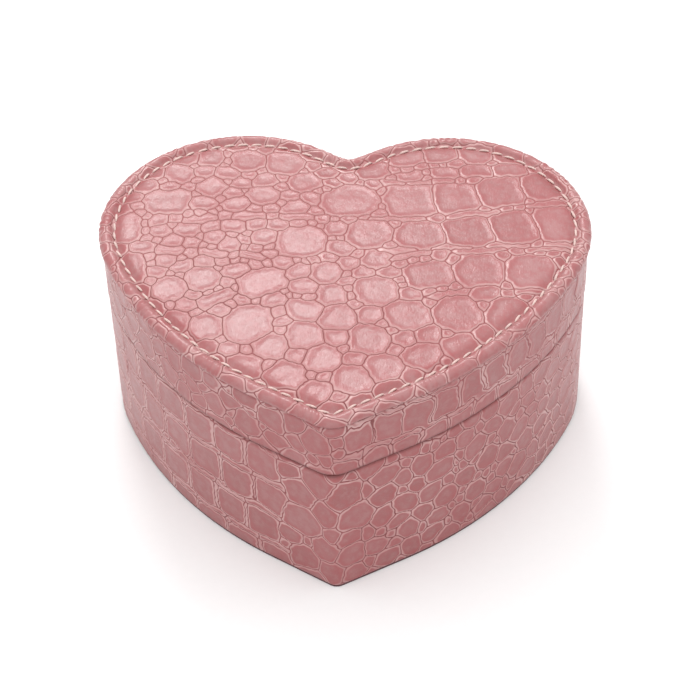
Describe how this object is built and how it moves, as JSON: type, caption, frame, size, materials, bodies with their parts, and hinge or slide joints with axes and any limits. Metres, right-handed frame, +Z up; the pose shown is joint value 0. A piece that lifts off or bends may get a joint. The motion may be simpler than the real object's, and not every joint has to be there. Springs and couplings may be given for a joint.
{
  "type": "wind-up music box",
  "caption": "Heart-shaped leather-covered musical jewellery box with a padded hinged lid, mirror, lined trays and a key-wound comb movement under a clear cover.",
  "frame": {"origin": "centre of the footprint's bounding box, on the surface the box stands on", "axes": "+X to the right seen from the tip, +Y from the heart's tip to its cleft and the hinges, +Z up"},
  "size_m": [0.15, 0.1314, 0.0705],
  "materials": {
    "leather": "glossy embossed crocodile grain",
    "board": "bare pressed board",
    "thread": "twisted polyester thread",
    "felt": "short felt",
    "lining": "flocked velvet",
    "foam": "soft foam",
    "clear_cover": "clear polished acrylic",
    "mirror": "silvered",
    "trim": "gilt edging",
    "nickel": "nickel plated",
    "zinc": "die-cast, lightly polished",
    "steel": "ground",
    "brass": "turned",
    "plastic": "moulded"
  },
  "bodies": {
    "base": {"foot_felt": "felt", "base_frame": "board", "base_wrap": "leather", "bottom_board": "board", "tray_lining": "lining", "cross_partition": "lining", "centre_partition": "lining", "window_ledge": "lining", "movement_window": "clear_cover", "window_screws": "nickel", "ring_roll_1": "lining", "ring_roll_2": "lining", "ring_roll_3": "lining", "ring_roll_4": "lining", "base_leaf_screws": "nickel", "hinge_base_leaf_left": "nickel", "hinge_base_leaf_right": "nickel", "hinge_pin_left": "nickel", "hinge_pin_right": "nickel", "movement_screws": "steel", "bedplate": "zinc", "comb": "steel", "comb_screws": "steel", "spring_housing": "nickel", "housing_screws": "steel", "mainspring": "steel", "governor_bracket": "brass", "governor_screws": "steel", "end_plate": "brass", "stop_rod_spring": "steel"},
    "lid": {"lid_frame": "board", "lid_skirt_wrap": "leather", "lid_board": "board", "top_foam": "foam", "lid_top_cover": "leather", "seam_stitches": "thread", "lid_lining": "lining", "mirror": "mirror", "mirror_trim": "trim", "lid_leaf_screws": "nickel", "hinge_lid_leaf_left": "nickel", "hinge_lid_leaf_right": "nickel"},
    "winding": {"winding_arbor": "steel", "winding_key": "nickel", "clutch_spring": "steel"},
    "drive": {"drive_gear": "brass"},
    "cylinder": {"music_cylinder": "brass", "cylinder_arbor": "steel", "cylinder_pinion": "brass", "cylinder_wheel": "brass"},
    "intermediate": {"middle_arbor": "steel", "middle_pinion": "steel", "worm_wheel": "brass"},
    "governor": {"worm_shaft": "steel", "governor_fan": "plastic"},
    "stop": {"stop_rod": "steel", "stop_rod_tip": "plastic"}
  },
  "joints": [
    {"name": "lid_hinge", "type": "hinge", "parent": "base", "child": "lid", "pos_m": [0, 0.06403, 0.048], "axis": [-1, 0, 0], "range_deg": [0, 95]},
    {"name": "key_wind", "type": "hinge", "parent": "base", "child": "winding", "pos_m": [-0.016, 0.01763, 0.012], "axis": [0, 0, 1], "continuous": true},
    {"name": "cylinder_spin", "type": "hinge", "parent": "base", "child": "cylinder", "pos_m": [-0.043, 0.01763, 0.0276], "axis": [1, 0, 0], "continuous": true},
    {"name": "drive_spin", "type": "hinge", "parent": "base", "child": "drive", "pos_m": [-0.016, 0.01763, 0.0205], "axis": [0, 0, 1], "continuous": true},
    {"name": "intermediate_spin", "type": "hinge", "parent": "base", "child": "intermediate", "pos_m": [-0.0575, 0.02763, 0.0276], "axis": [1, 0, 0], "continuous": true},
    {"name": "governor_spin", "type": "hinge", "parent": "base", "child": "governor", "pos_m": [-0.0588, 0.03423, 0.03], "axis": [0, 0, 1], "continuous": true},
    {"name": "stop_slide", "type": "slide", "parent": "base", "child": "stop", "axis": [0, 0, 1], "range_m": [0, 0.0025], "deforming": ["stop_rod_spring"]}
  ],
  "couplings": [
    {"joint": "drive_spin", "follows": "cylinder_spin", "ratio": -0.42857},
    {"joint": "intermediate_spin", "follows": "cylinder_spin", "ratio": -3},
    {"joint": "governor_spin", "follows": "cylinder_spin", "ratio": 60},
    {"joint": "stop_slide", "follows": "lid_hinge", "m_per_rad": 0.0015}
  ]
}
